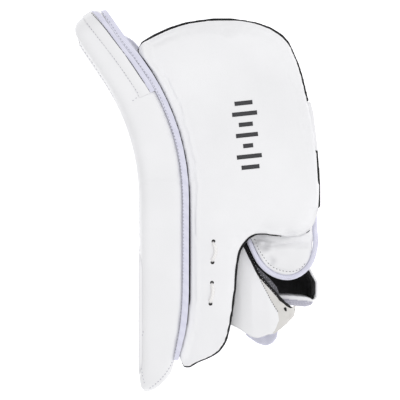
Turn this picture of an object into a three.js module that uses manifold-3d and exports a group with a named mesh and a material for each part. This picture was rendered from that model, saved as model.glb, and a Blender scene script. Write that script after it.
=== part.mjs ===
// A hockey goalie's blocker: a curved padded board, a sideboard that guards the thumb, and the glove behind them.
// It lies on the board's far long edge with the thumb side up, as it rests on a table.
// Millimetres. X runs from the board's face to the palm, Y from the cuff to the fingertips, Z up from the floor.
import * as THREE from "three";
import { mergeVertices } from "three/addons/utils/BufferGeometryUtils.js";
import Module from "manifold-3d";

const wasm = await Module();
wasm.setup();

// Driving dimensions
const GAP = 0.3;
const BOARD = {
  width: 203, // across the face, from edge to edge
  faceX: -60, // where the flat lower part of the face stands
  tipY: -192.5,
  straight: 194.5, // flat lower part, along the face
  bendRadius: 210,
  lean: THREE.MathUtils.degToRad(34),
  flare: 66.9, // flat upper part, beyond the bend
  cornerRadius: 20, // corners seen from the front
  edgeRound: 6,
  backRound: 1.8,
};
const BINDING = { width: 5.4, thickness: 3, start: 32.5, narrow: 3.6, full: 62, endInset: 8, endSlope: 2.4 };
// The part of the tape that laps over the thumb edge. The step is what is left of it on the other edges.
const LIP = { over: 0.8, thickness: 0.7, step: 0.01 };
const BACK_PANEL = { thickness: 4, low: 6, high: 142, end: 32 };
const TRIM = { raise: 1.3, low: 0.4, topRaise: 0.5 };
const GUSSET = { raise: 0.9, endRound: 13, least: 0.6 };
const FACE_PANEL = { start: 17, end: 138, low: 3, high: 200, thickness: 1.2 };
const SIDEBOARD = { top: 195, cover: 15, backing: 4, seam: GAP, rimX: 2, rimY: 1.3 };
const FLANGE = { depth: 34, thickness: 3, turn: 12, turnDepth: 7, from: 62, to: 318 };
const LACE = { radius: 1.8, hole: 2.4, tail: 8, clear: 0.5 };
const FINGERS = { width: 23.2, low: 78, wall: 2.5, baseY: 33, sides: 16 };
const LEATHER = 3;
const LINING = 2;

const FACE_LENGTH = BOARD.straight + BOARD.bendRadius * BOARD.lean + BOARD.flare;

// Board thickness along the face, from the bevelled lower tip to the thinner top end
const BOARD_STATIONS = [
  { s: 0, thick: 8 },
  { s: 3, thick: 14 },
  { s: 9, thick: 22 },
  { s: 15, thick: 27 },
  { s: 21, thick: 31 },
  { s: 26, thick: 33.5 },
  { s: 32.5, thick: 34.8 },
  { s: 47.5, thick: 37.6 },
  { s: 62.5, thick: 40.5 },
  { s: 80, thick: 42.7 },
  { s: 102, thick: 43.5 },
  { s: 205, thick: 43.5 },
  { s: 247, thick: 42.4 },
  { s: 292, thick: 40.2 },
  { s: 327, thick: 37.9 },
  { s: 346, thick: 36.5 },
  { s: FACE_LENGTH, thick: 36 },
];

// How thick the back panel is along the board: it swells near the top end and slopes off there
const BACK_PANEL_ROWS = [
  { s: 285, thick: BACK_PANEL.thickness },
  { s: 303, thick: 6 },
  { s: 320, thick: 10 },
  { s: 337, thick: 11.1 },
  { s: 345, thick: 9.1 },
  { s: 351, thick: 6 },
  { s: 354, thick: 4 },
];

// The raised strip on the upper third of the thumb edge: its two sides, in from the face
const TRIM_ROWS = [
  { s: 288, near: 22.5, far: 34 },
  { s: 304, near: 22, far: 32.6 },
  { s: 323, near: 21, far: 32 },
  { s: 346, near: 20, far: 31 },
  { s: 368, near: 18.5, far: 30 },
  { s: FACE_LENGTH, near: 17.5, far: 28 },
];

// Sideboard rows: left and right edges at each height, before the thumb notch is cut.
// The lift and out are how far the black backing stands out past the cover there, upwards and to the palm.
const SIDEBOARD_ROWS = [
  { y: 180.2, left: 14, right: 37, thick: 3, lift: 3, out: -6 },
  { y: 178.8, left: -1, right: 49, thick: 9, lift: 2.6, out: -4 },
  { y: 176, left: -16, right: 60, thick: 13, lift: 3, out: -2 },
  { y: 171, left: -31, right: 72, thick: 15, lift: 3.2, out: -0.5 },
  { y: 164, left: -46.5, right: 82.5, thick: 15, lift: 3.2, out: 0.4 },
  { y: 157, left: -59, right: 89, thick: 15, lift: 2.6, out: 0.9 },
  { y: 150, left: -63.2, right: 92.3, thick: 15, lift: 1, out: 1.5 },
  { y: 138, left: -54.3, right: 97.5, thick: 15, lift: 0, out: 2 },
  { y: 125, left: -46.1, right: 101.5, thick: 15, lift: 0, out: 2.2 },
  { y: 108, left: -36.6, right: 105.5, thick: 15, lift: 0, out: 2.2 },
  { y: 88, left: -27.5, right: 110.5, thick: 15, lift: 0, out: 2.2 },
  { y: 66, left: -19.8, right: 114.5, thick: 15, lift: 0, out: 2.2 },
  { y: 40, left: -13.8, right: 117.5, thick: 15, lift: 0, out: 2.2 },
  { y: 14, left: -10.8, right: 119.3, thick: 15, lift: 0, out: 2.2 },
  { y: -10, left: -10.2, right: 119.3, thick: 15, lift: 0, out: 2.2 },
  { y: -40, left: -10, right: 118, thick: 15, lift: 0, out: 2.2 },
  { y: -70, left: -10, right: 60, thick: 15, lift: 0, out: 2.2 },
  { y: -100, left: -10.2, right: 60, thick: 15, lift: 0, out: 2.2 },
  { y: -125, left: -13.3, right: 60, thick: 15, lift: 0, out: 2.2 },
  { y: -145, left: -17.8, right: 60, thick: 15, lift: 0, out: 2.2 },
  { y: -157, left: -21, right: 40, thick: 14, lift: 0, out: 2.2 },
  { y: -163, left: -19, right: 20, thick: 11, lift: 0, out: 2.2 },
  { y: -167.5, left: -16, right: 0, thick: 5, lift: -1.5, out: 2.2 },
];

// Lower edge of the sideboard, from the palm side round the thumb notch and down the tail
const NOTCH_EDGE = [
  [150, -10],
  [117, -16],
  [115, -24],
  [110, -31],
  [100, -36],
  [88, -37],
  [76, -35],
  [64, -33.3],
  [55, -33.6],
  [48, -37],
  [43.2, -43],
  [38.8, -50],
  [36.6, -60],
  [35.2, -70],
  [34.2, -86],
  [32, -104],
  [30.2, -116],
  [28, -128],
  [25, -140],
  [21.8, -146],
  [17, -152],
  [12, -155.5],
  [6, -158.5],
  [-4, -162.5],
  [-13, -168],
  [-20, -175],
  [150, -175],
];

// The backing stops short under the palm end of that edge, where the flap comes up to meet the cover
const FLAP_MEETS = [
  [92, -60],
  [92, -34.4],
  [100, -33.2],
  [109, -28.5],
  [113, -23],
  [115, -15],
  [117, -8],
  [150, -6],
  [150, -60],
];

// Lace holes, from the notch down the tail
const LACE_HOLES = [
  { x: 13.5, y: -41.5 },
  { x: 12.5, y: -62.5 },
  { x: 12, y: -83 },
  { x: 10.5, y: -104 },
];

// Sections of the hollow hand tube, from the knuckles to the cuff's end
const HAND_SECTIONS = [
  { y: 33, x: 13, halfX: 16, halfZ: 46.6, z: 124.6 },
  { y: 8, x: 19, halfX: 20, halfZ: 45, z: 123.5 },
  { y: -22, x: 33, halfX: 29, halfZ: 43, z: 122 },
  { y: -50, x: 50, halfX: 41, halfZ: 43.5, z: 121 },
  { y: -68, x: 61, halfX: 52, halfZ: 45.5, z: 120.5 },
  { y: -85, x: 68.5, halfX: 54, halfZ: 47, z: 120 },
  { y: -102, x: 69.5, halfX: 53, halfZ: 48, z: 119.5 },
  { y: -118, x: 71, halfX: 54, halfZ: 49, z: 119 },
  { y: -156, x: 73, halfX: 55, halfZ: 51, z: 118 },
];
const PALM_END_Y = -42;

// Each finger: tip height and curl towards the palm
const FINGER_TABLE = [
  { name: "little_finger_stall", length: 66, curl: 6 },
  { name: "ring_finger_stall", length: 82, curl: 4 },
  { name: "middle_finger_stall", length: 88, curl: 3 },
  { name: "index_finger_stall", length: 80, curl: 4 },
];

// Thumb path, from inside the palm to the tip
const THUMB_SECTIONS = [
  { x: 30, y: -26, z: 140, radius: 17 },
  { x: 50, y: -8, z: 146, radius: 17 },
  { x: 68, y: 16, z: 150, radius: 16.5 },
  { x: 80, y: 42, z: 152, radius: 15.5 },
  { x: 84, y: 60, z: 152, radius: 13.5 },
  { x: 85, y: 68, z: 152, radius: 9 },
];

// Thumb flap rows: a padded tongue that comes from under the sideboard, with its palm side tilted up
const FLAP_ROWS = [
  { y: -10, left: 45, right: 112.5, z: 171.4, thick: 7.2, tilt: 0 },
  { y: -33, left: 47, right: 113, z: 171.4, thick: 7.2, tilt: 0 },
  { y: -41, left: 50, right: 112.5, z: 171.4, thick: 7.2, tilt: 0 },
  { y: -50, left: 53.8, right: 111.2, z: 175.5, thick: 8.5, tilt: 5 },
  { y: -60, left: 58.8, right: 108.5, z: 176.5, thick: 9, tilt: 5 },
  { y: -67, left: 64.8, right: 104, z: 176.5, thick: 8.5, tilt: 4 },
  { y: -72.5, left: 73, right: 97, z: 176, thick: 7.5, tilt: 2.5 },
  { y: -75.4, left: 82, right: 90, z: 176, thick: 5, tilt: 1 },
];

// Mouth of the cuff on the thumb side, from its corner at the notch
const MOUTH_EDGE = [
  [38, -34],
  [43.5, -46],
  [52.9, -65.2],
  [58.6, -76.7],
  [67.6, -86.8],
  [80, -100.4],
  [88, -108],
  [92.5, -110.5],
  [95.5, -107.5],
  [140, -107],
  [140, -34],
];
const NEAR_RIM = [
  [-40, -92],
  [32, -127.5],
  [38.5, -130.5],
  [52, -139],
  [59, -140.5],
  [69, -137],
  [77, -135.5],
  [88.4, -126],
  [96.3, -118],
  [97.5, -110],
  [95.5, -108],
  [108, -107.5],
  [112, -101.5],
  [160, -101],
  [160, -190],
  [-40, -190],
];
const FAR_RIM = [
  [-40, -92],
  [31, -131],
  [53.6, -138],
  [62, -141],
  [70, -142],
  [76.5, -138.5],
  [79, -132],
  [86, -114],
  [97, -110.5],
  [114, -109],
  [120, -104],
  [124, -101],
  [160, -100],
  [160, -190],
  [-40, -190],
];
const TONGUE = [
  [50, -137.3],
  [53.6, -138.4],
  [62, -141.4],
  [70, -142.4],
  [76.8, -138.9],
  [79.4, -132],
  [83, -133],
  [81, -146],
  [76.5, -151.5],
  [70, -154.2],
  [61, -151.5],
  [49, -143],
];
const LINING_SHOWS = 3; // how far the lining stands out past the leather
const RIM_SPLIT_Z = 112;
const MOUTH_FLOOR_Z = 126;
const TUBE_END_Y = -156;
const STRAP = { low: 94, high: 150 };
const STRAP_OUTLINE = [
  [77, -98],
  [95, -98.6],
  [109, -100],
  [114.5, -102],
  [115.8, -105],
  [113.5, -107.8],
  [108, -109],
  [94, -107.6],
  [80, -106],
];
const HOOK_OUTLINE = [
  [30, -67],
  [57, -67],
  [64, -73.5],
  [71.5, -80.5],
  [78.2, -88.5],
  [81, -96.3],
  [79.5, -101],
  [76, -101],
  [30, -84],
];

// White tab on the palm edge of the sideboard
const EDGE_TAB = [
  { y: 99, left: 105, right: 112 },
  { y: 88, left: 107.5, right: 114.8 },
  { y: 70, left: 110, right: 117 },
  { y: 50, left: 112, right: 119.4 },
];
const HAND_PAD = { from: 128, to: 262, low: 84, high: 165, right: 12 };

// Closed solids, with positions only
const toSolid = (geometry) => {
  const bare = geometry.clone();
  bare.deleteAttribute("normal");
  bare.deleteAttribute("uv");
  const merged = mergeVertices(bare, 1e-4);
  const solid = new wasm.Manifold(
    new wasm.Mesh({
      numProp: 3,
      vertProperties: merged.attributes.position.array,
      triVerts: new Uint32Array(merged.index.array),
    }),
  );
  return solid;
};
const toGeometry = (solid) => {
  const mesh = solid.getMesh();
  const geometry = new THREE.BufferGeometry();
  geometry.setAttribute("position", new THREE.BufferAttribute(new Float32Array(mesh.vertProperties), 3));
  geometry.setIndex(new THREE.BufferAttribute(new Uint32Array(mesh.triVerts), 1));
  geometry.computeVertexNormals();
  return geometry;
};

// A closed skin over rings of equal count. An open run gets flat end caps; a closed run joins its last ring to its first.
function skin(rings, closed = false) {
  const count = rings[0].length;
  const points = rings.flat();
  const faces = [];
  const spans = closed ? rings.length : rings.length - 1;
  for (let i = 0; i < spans; i++) {
    const a = i * count;
    const b = ((i + 1) % rings.length) * count;
    for (let j = 0; j < count; j++) {
      const k = (j + 1) % count;
      faces.push([a + j, a + k, b + k], [a + j, b + k, b + j]);
    }
  }
  if (!closed) {
    for (const end of [0, rings.length - 1]) {
      const middle = new THREE.Vector3();
      rings[end].forEach((p) => middle.addScaledVector(p, 1 / count));
      const hub = points.push(middle) - 1;
      for (let j = 0; j < count; j++) {
        const a = end * count + j;
        const b = end * count + ((j + 1) % count);
        faces.push(end === 0 ? [hub, b, a] : [hub, a, b]);
      }
    }
  }
  const volume = faces.reduce(
    (sum, [a, b, c]) => sum + points[a].dot(points[b].clone().cross(points[c])),
    0,
  );
  const index = faces.flatMap(([a, b, c]) => (volume < 0 ? [a, c, b] : [a, b, c]));
  const geometry = new THREE.BufferGeometry().setFromPoints(points);
  geometry.setIndex(index);
  geometry.computeVertexNormals();
  return geometry;
}

// A rectangle with rounded corners, as points round its centre
function roundedRectangle(halfU, halfV, radius, steps = 3, farRadius = radius) {
  const corners = [
    [1, 1],
    [-1, 1],
    [-1, -1],
    [1, -1],
  ];
  return corners.flatMap(([u, v], quarter) => {
    const r = Math.min(u > 0 ? farRadius : radius, halfU * 0.98, halfV * 0.98);
    return Array.from({ length: steps + 1 }, (_, i) => {
      const angle = ((quarter + i / steps) * Math.PI) / 2;
      return [u * (halfU - r) + r * Math.cos(angle), v * (halfV - r) + r * Math.sin(angle)];
    });
  });
}

function superEllipse(halfU, halfV, power, count) {
  return Array.from({ length: count }, (_, i) => {
    const angle = (i / count) * Math.PI * 2;
    const c = Math.cos(angle);
    const s = Math.sin(angle);
    return [
      halfU * Math.sign(c) * Math.abs(c) ** (2 / power),
      halfV * Math.sign(s) * Math.abs(s) ** (2 / power),
    ];
  });
}

// A row of numbers between the table's rows, by straight interpolation on one column
function between(table, column, value) {
  const rising = table[0][column] < table[table.length - 1][column];
  const rows = rising ? table : [...table].reverse();
  const at = THREE.MathUtils.clamp(value, rows[0][column], rows[rows.length - 1][column]);
  let i = rows.findIndex((row) => row[column] >= at);
  i = Math.max(i, 1);
  const t = (at - rows[i - 1][column]) / (rows[i][column] - rows[i - 1][column]);
  return Object.fromEntries(
    Object.keys(rows[0]).map((key) => [key, rows[i - 1][key] + t * (rows[i][key] - rows[i - 1][key])]),
  );
}

// A prism along Z from an outline of points
function prism(outline, low, high) {
  const shape = new THREE.Shape(outline.map(([x, y]) => new THREE.Vector2(x, y)));
  const geometry = new THREE.ExtrudeGeometry(shape, { depth: high - low, bevelEnabled: false });
  geometry.translate(0, 0, low);
  return toSolid(geometry);
}

// Board coordinates: s along the face from the lower tip, d in from the face towards the hand, z up
function boardFrame(s) {
  const bend = THREE.MathUtils.clamp((s - BOARD.straight) / BOARD.bendRadius, 0, BOARD.lean);
  const past = s - BOARD.straight - BOARD.bendRadius * BOARD.lean;
  const normal = new THREE.Vector3(Math.cos(bend), Math.sin(bend), 0);
  const along = new THREE.Vector3(-Math.sin(bend), Math.cos(bend), 0);
  const point = new THREE.Vector3(
    BOARD.faceX - BOARD.bendRadius * (1 - Math.cos(bend)),
    BOARD.tipY + Math.min(s, BOARD.straight) + BOARD.bendRadius * Math.sin(bend),
    0,
  );
  if (past > 0) point.addScaledVector(along, past);
  return { point, normal, along };
}
function boardPoint(s, d, z) {
  const { point, normal } = boardFrame(s);
  return point.clone().addScaledVector(normal, d).setZ(z);
}
const thicknessAt = (s) => between(BOARD_STATIONS, "s", s).thick;

// How far a corner of that radius has come in, at a distance from the end
const cornerInset = (distance, radius) =>
  distance >= radius ? 0 : radius - Math.sqrt(Math.max(0, radius ** 2 - (radius - distance) ** 2));

function spread(from, to, count) {
  return Array.from({ length: count }, (_, i) => from + ((to - from) * i) / (count - 1));
}

// The padded board: rounded sections square to its face
function boardBody() {
  const ends = [0, 1.5, 4, 8, 14, 20, 28, 40, 55, 75];
  const stations = [
    ...ends,
    ...spread(100, FACE_LENGTH - 60, 18),
    ...[50, 42, 34, 26, 18, 13, 8, 4, 1.5, 0].map((back) => FACE_LENGTH - back),
  ];
  const rings = stations.map((s) => {
    const fromEnd = Math.min(s, FACE_LENGTH - s);
    const inset = cornerInset(fromEnd, BOARD.cornerRadius);
    const topRound = cornerInset(FACE_LENGTH - s, 12);
    const front = topRound + cornerInset(s, 12) * 0.35;
    const back = thicknessAt(s) - cornerInset(FACE_LENGTH - s, 7) * 0.8;
    const halfD = (back - front) / 2;
    const middle = (back + front) / 2;
    const halfZ = BOARD.width / 2 - inset;
    return roundedRectangle(halfD, halfZ, BOARD.edgeRound, 3, BOARD.backRound).map(([d, z]) =>
      boardPoint(s, middle + d, BOARD.width / 2 + z),
    );
  });
  return skin(rings);
}

// The board's outline as stations (s, z), from the near edge round the top end.
// It reaches the near corner, the top end or the far edge.
function edgePath(start, inset, radius, reach, endInset = inset) {
  const top = FACE_LENGTH - endInset;
  const near = BOARD.width - inset;
  const steps = Math.ceil((top - start) / 14);
  const turn = (centreS, centreZ, from) =>
    spread(from, from - Math.PI / 2, 7).map((angle) => ({
      s: centreS + radius * Math.cos(angle),
      z: centreZ + radius * Math.sin(angle),
      outS: Math.cos(angle),
      outZ: Math.sin(angle),
    }));
  return [
    ...spread(start, top - radius - 4, steps).map((s) => ({ s, z: near, outS: 0, outZ: 1 })),
    ...turn(top - radius, near - radius, Math.PI / 2),
    ...(reach === "top" ? [{ s: top, z: 30, outS: 1, outZ: 0 }] : []),
    ...(reach === "far" ? turn(top - radius, inset + radius, 0) : []),
    ...(reach === "far"
      ? spread(top - radius - 4, start, steps).map((s) => ({ s, z: inset, outS: 0, outZ: -1 }))
      : []),
  ];
}

// A band swept round the board's edge, between two depths, with a height at each side
function edgeBand(path, depths, heights) {
  const rings = path.map(({ s, z, outS, outZ }) => {
    const [near, far] = depths(s);
    const [nearHigh, farHigh] = heights(outS);
    const at = (out, d) => boardPoint(s + outS * out, d, z + outZ * out);
    return [at(0, near), at(nearHigh, near), at(farHigh, far), at(0, far)];
  });
  return skin(rings);
}

// The tape runs along the board's back edge. On the thumb edge it has a lip that laps over the leather.
function boardBinding() {
  const { start, thickness, width, narrow, full, endInset } = BINDING;
  const path = edgePath(start, thickness, BOARD.cornerRadius - thickness, "far", endInset);
  const rings = path.map(({ s, z, outS, outZ }) => {
    const from = thicknessAt(s) + GAP;
    const to = thicknessAt(s) + THREE.MathUtils.mapLinear(Math.min(s, full), start, full, narrow, width);
    const lip = THREE.MathUtils.smoothstep(outZ, 0.94, 1);
    const over = from - lip * (LIP.over + GAP);
    const under = thickness - LIP.step + lip * (GAP + LIP.step);
    const top = thickness + lip * (GAP + LIP.thickness);
    const at = (out, d) => boardPoint(s + outS * out, d, z + outZ * out);
    const edge = over - LIP.step;
    const sloped = top - BINDING.endSlope * Math.max(outS, 0) ** 2;
    return [at(0, from), at(under, from), at(under, edge), at(top, edge), at(sloped, to), at(0, to)];
  });
  return skin(rings);
}

// The raised strip covers the near side and the top end only, so that the far edge stays flat to rest on.
// Its outer side is stitched down low, and its inner side stands a little proud.
function topTrim() {
  const path = edgePath(TRIM_ROWS[0].s, -GAP, BOARD.cornerRadius + GAP, "top");
  return edgeBand(
    path,
    (s) => {
      const { near, far } = between(TRIM_ROWS, "s", s);
      return [near, far];
    },
    (outS) => [TRIM.low, TRIM.raise + (TRIM.topRaise - TRIM.raise) * outS],
  );
}

// A pale strip fills the rest of the edge, from the raised strip to the board's back
function topGusset() {
  const path = edgePath(TRIM_ROWS[0].s, -GAP, BOARD.cornerRadius + GAP, "corner");
  return edgeBand(
    path,
    (s) => {
      const near = between(TRIM_ROWS, "s", s).far + GAP;
      const far = thicknessAt(s) - LIP.over - GAP - cornerInset(FACE_LENGTH - s, GUSSET.endRound);
      return [near, Math.max(far, near + GUSSET.least)];
    },
    () => [GUSSET.raise, GUSSET.raise],
  );
}

// A thin panel that follows the board, inside a rounded outline
function boardPanel(from, to, { low, high }, depths, radius) {
  const stations = [
    ...[0, 1.5, 4, 8, 14].map((step) => from + step),
    ...spread(from + 22, to - 22, 20),
    ...[14, 8, 4, 1.5, 0].map((step) => to - step),
  ];
  const rings = stations.map((s) => {
    const corner = cornerInset(Math.min(s - from, to - s), radius);
    const [near, far] = depths(s);
    return [
      boardPoint(s, near, low + corner),
      boardPoint(s, far, low + corner),
      boardPoint(s, far, high - corner),
      boardPoint(s, near, high - corner),
    ];
  });
  return skin(rings);
}

// Rows of a padded plate: flat bars with round ends, stacked along Y
function plate(rows, section) {
  return skin(rows.map(section));
}
function barRing(left, right, y, low, high) {
  const halfZ = (high - low) / 2;
  const halfX = (right - left) / 2;
  return roundedRectangle(halfX, halfZ, Math.min(halfZ, 7), 3).map(
    ([x, z]) => new THREE.Vector3((left + right) / 2 + x, y, (low + high) / 2 + z),
  );
}
const shifted = (outline, x, y) => outline.map(([px, py]) => [px + x, py + y]);

function laceHoles() {
  return LACE_HOLES.map(({ x, y }) => {
    const drill = new THREE.CylinderGeometry(LACE.hole, LACE.hole, 60, 12);
    drill.rotateX(Math.PI / 2).translate(x, y, SIDEBOARD.top - 20);
    return toSolid(drill);
  });
}
const drilled = (solid) => laceHoles().reduce((rest, hole) => rest.subtract(hole), solid);

const COVER_LOW = SIDEBOARD.top - SIDEBOARD.cover;
const BACKING_HIGH = COVER_LOW - SIDEBOARD.seam;
const BACKING_LOW = BACKING_HIGH - SIDEBOARD.backing;

function sideboardCover() {
  const middle = SIDEBOARD.top - SIDEBOARD.cover / 2;
  const blank = toSolid(
    plate(SIDEBOARD_ROWS, ({ y, left, right, thick }) =>
      barRing(left, right, y, middle - thick / 2, middle + thick / 2),
    ),
  );
  return drilled(blank.subtract(prism(NOTCH_EDGE, 0, 300)));
}

// A flat tab on the palm edge, or the slot that it sits in
function edgeTab(grow, past = 0) {
  const last = EDGE_TAB.length - 1;
  const lift = (i) => (i === 0 ? grow : i === last ? -grow : 0);
  const left = EDGE_TAB.map(({ y, left: x }, i) => [x - grow, y + lift(i)]);
  const right = EDGE_TAB.map(({ y, right: x }, i) => [x + past, y + lift(i)]);
  return prism([...left, ...right.reverse()], BACKING_LOW - past, BACKING_HIGH + (past > 0 ? GAP : 0));
}

// The black backing stands out past the cover, and turns down as a flange that is sewn to the board's back
function sideboardBacking() {
  const blank = toSolid(
    plate(SIDEBOARD_ROWS, ({ y, left, right, lift, out }) =>
      barRing(left, right + out, y + lift, BACKING_LOW, BACKING_HIGH),
    ),
  );
  const cutter = prism(shifted(NOTCH_EDGE, SIDEBOARD.rimX, -SIDEBOARD.rimY), 0, 300).add(prism(FLAP_MEETS, 0, 300));
  const rings = spread(FLANGE.from, FLANGE.to, 20).map((s) => {
    const near = thicknessAt(s) + GAP;
    const high = BACKING_HIGH - 0.5;
    const low = BACKING_HIGH - FLANGE.depth;
    const turnLow = high - FLANGE.turnDepth;
    return [
      boardPoint(s, near, low),
      boardPoint(s, near + FLANGE.thickness, low),
      boardPoint(s, near + FLANGE.thickness, turnLow),
      boardPoint(s, near + FLANGE.turn, turnLow),
      boardPoint(s, near + FLANGE.turn, high),
      boardPoint(s, near, high),
    ];
  });
  const slot = edgeTab(GAP, 6);
  return drilled(blank.subtract(cutter).subtract(slot).add(toSolid(skin(rings))));
}

// The lace runs over the tail, in through the holes and along the inside, with a knot at each end
function lace() {
  const over = SIDEBOARD.top;
  const under = BACKING_LOW;
  const [a, b, c, d] = LACE_HOLES;
  const rise = LACE.radius + LACE.clear;
  const loop = (from, to, z, side, bulge) => {
    const way = Math.sign(to.y - from.y);
    const level = z + side * (rise + 0.8);
    const at = (t) => [from.x * (1 - t) + to.x * t, from.y * (1 - t) + to.y * t];
    const [x1, y1] = at(0.35);
    const [x2, y2] = at(0.65);
    return [
      [from.x, from.y, z + side * 0.8],
      [from.x, from.y + way * 0.9, z + side * 2.3],
      [from.x + bulge * 0.5, from.y + way * 3.2, level],
      [x1 + bulge, y1, level],
      [x2 + bulge, y2, level],
      [to.x + bulge * 0.5, to.y - way * 3.2, level],
      [to.x, to.y - way * 0.9, z + side * 2.3],
      [to.x, to.y, z + side * 0.8],
    ];
  };
  const end = (hole, way) => [
    [hole.x, hole.y + way * LACE.tail, under - rise - 0.8],
    [hole.x, hole.y + way * 3.2, under - rise - 0.8],
    [hole.x, hole.y + way * 0.9, under - 2.3],
    [hole.x, hole.y, under - 0.8],
  ];
  const route = [
    ...end(a, 1),
    ...loop(a, b, over, 1, 2.4),
    ...loop(b, c, under, -1, 0),
    ...loop(c, d, over, 1, 1.4),
    ...end(d, -1).reverse(),
  ].map((p) => new THREE.Vector3(...p));
  const curve = new THREE.CatmullRomCurve3(route, false, "centripetal");
  const rings = curve.getPoints(64).map((point, i, all) => {
    const before = all[Math.max(i - 1, 0)];
    const after = all[Math.min(i + 1, all.length - 1)];
    const along = after.clone().sub(before).normalize();
    const side = new THREE.Vector3(1, 0, 0).addScaledVector(along, -along.x).normalize();
    const up = along.clone().cross(side);
    return Array.from({ length: 6 }, (_, j) => {
      const angle = (j / 6) * Math.PI * 2;
      return point
        .clone()
        .addScaledVector(side, LACE.radius * Math.cos(angle))
        .addScaledVector(up, LACE.radius * Math.sin(angle));
    });
  });
  const knots = [route[0], route[route.length - 1]].map((at) => {
    const ball = new THREE.SphereGeometry(LACE.radius * 1.7, 8, 6);
    ball.translate(at.x, at.y, at.z - 0.8);
    return toSolid(ball);
  });
  return knots.reduce((whole, knot) => whole.add(knot), toSolid(skin(rings)));
}

// The hand tube, as a solid loft from one height to another, shrunk by an inset
function handLoft(top, bottom, inset, sides = 28) {
  const heights = HAND_SECTIONS.map(({ y }) => y).filter((y) => y < top && y > bottom);
  const rings = [top, ...heights, bottom].map((y) => {
    const row = between(HAND_SECTIONS, "y", y);
    return superEllipse(row.halfX - inset, row.halfZ - inset, 2.6, sides).map(
      ([x, z]) => new THREE.Vector3(row.x + x, y, row.z + z),
    );
  });
  return toSolid(skin(rings));
}

function thumbLoft(inset, grow = 0) {
  const rings = THUMB_SECTIONS.map(({ x, y, z, radius }, i, all) => {
    const before = all[Math.max(i - 1, 0)];
    const after = all[Math.min(i + 1, all.length - 1)];
    const along = new THREE.Vector3(after.x - before.x, after.y - before.y, after.z - before.z).normalize();
    const across = new THREE.Vector3(0, 0, 1).cross(along).normalize();
    const up = along.clone().cross(across);
    const end = i === all.length - 1 ? -inset : 0;
    return superEllipse(radius - inset, (radius - inset) * 1.05, 2.2, FINGERS.sides).map(([u, v]) =>
      new THREE.Vector3(x, y, z).addScaledVector(across, u).addScaledVector(up, v).addScaledVector(along, end + grow),
    );
  });
  return toSolid(skin(rings));
}

function palmShell() {
  const outer = handLoft(HAND_SECTIONS[0].y, PALM_END_Y, 0);
  const inner = handLoft(HAND_SECTIONS[0].y + 1, PALM_END_Y - 1, LEATHER);
  return outer.subtract(inner).subtract(thumbLoft(FINGERS.wall));
}
function thumbStall() {
  const clear = handLoft(HAND_SECTIONS[0].y, PALM_END_Y, -GAP);
  return thumbLoft(0).subtract(thumbLoft(FINGERS.wall)).subtract(clear);
}

// A finger stall: a hollow tube with a round tip, open where it meets the palm
function fingerLoft(index, inset) {
  const { length, curl } = FINGER_TABLE[index];
  const centreZ = FINGERS.low + FINGERS.width * (index + 0.5);
  const base = HAND_SECTIONS[0];
  const steps = [
    { t: 0, u: 15.5, v: 11.3 },
    { t: 0.3, u: 14.2, v: 11.3 },
    { t: 0.6, u: 13.2, v: 11.2 },
    { t: 0.82, u: 12.4, v: 10.8 },
    { t: 0.93, u: 10.4, v: 9.2 },
    { t: 1, u: 5.5, v: 5 },
  ];
  const rings = steps.map(({ t, u, v }, i) => {
    const last = i === steps.length - 1;
    const y = FINGERS.baseY + GAP + t * length - (last ? inset : 0) - (i === 0 && inset !== 0 ? 1 : 0);
    const x = base.x - 3 * Math.sin(t * Math.PI) + curl * t * t;
    return superEllipse(u - inset, v - inset, 2.8, FINGERS.sides).map(
      ([a, b]) => new THREE.Vector3(x + a, y, centreZ + b),
    );
  });
  return toSolid(skin(rings));
}
const fingerStall = (index) => fingerLoft(index, 0).subtract(fingerLoft(index, FINGERS.wall));

// The cuff's layers share one tube; the mouth and the two rims are cut from them
function cuffTube(outset, thickness) {
  const top = PALM_END_Y - GAP;
  const outer = handLoft(top, TUBE_END_Y, -outset);
  return outer.subtract(handLoft(top + 1, TUBE_END_Y - 1, thickness - outset));
}
const mouthCut = (grow) =>
  prism(
    MOUTH_EDGE.map(([x, y]) => [x + grow * 0.9, y + grow * 0.4]),
    MOUTH_FLOOR_Z + grow * 0.4,
    300,
  );
function cuffLayer(outset, thickness, edge) {
  const tube = cuffTube(outset, thickness);
  const shift = (outline, by) => outline.map(([x, y]) => [x, y + by]);
  const nearCut = prism(shift(NEAR_RIM, edge), RIM_SPLIT_Z, 300);
  const farCut = prism(shift(FAR_RIM, edge), -10, RIM_SPLIT_Z);
  return tube.subtract(nearCut).subtract(farCut).subtract(mouthCut(edge));
}
function cuffShell() {
  return cuffLayer(0, LEATHER, 0);
}
function cuffLining() {
  return cuffLayer(-LEATHER - GAP, LINING, LINING_SHOWS);
}

// A bound tongue carries on from the far rim
function cuffTongue() {
  return cuffTube(0.6, LEATHER + LINING + GAP + 1.2).intersect(prism(TONGUE, 60, RIM_SPLIT_Z - 6));
}

// The padded wrist strap stands across the mouth, clear of the cuff's own layers
function wristStrap() {
  const walls = cuffTube(GAP, LEATHER + LINING + 3 * GAP).subtract(mouthCut(-GAP));
  const parts = prism(STRAP_OUTLINE, STRAP.low, STRAP.high).subtract(walls).decompose();
  return parts.sort((a, b) => b.volume() - a.volume())[0];
}

// A strip of hook tape lines the near wall and shows past the lining's edge
function hookStrip() {
  const depth = LEATHER + LINING + 2 * GAP;
  return cuffTube(-depth, 1.8).intersect(prism(HOOK_OUTLINE, 140, 300));
}

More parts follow.
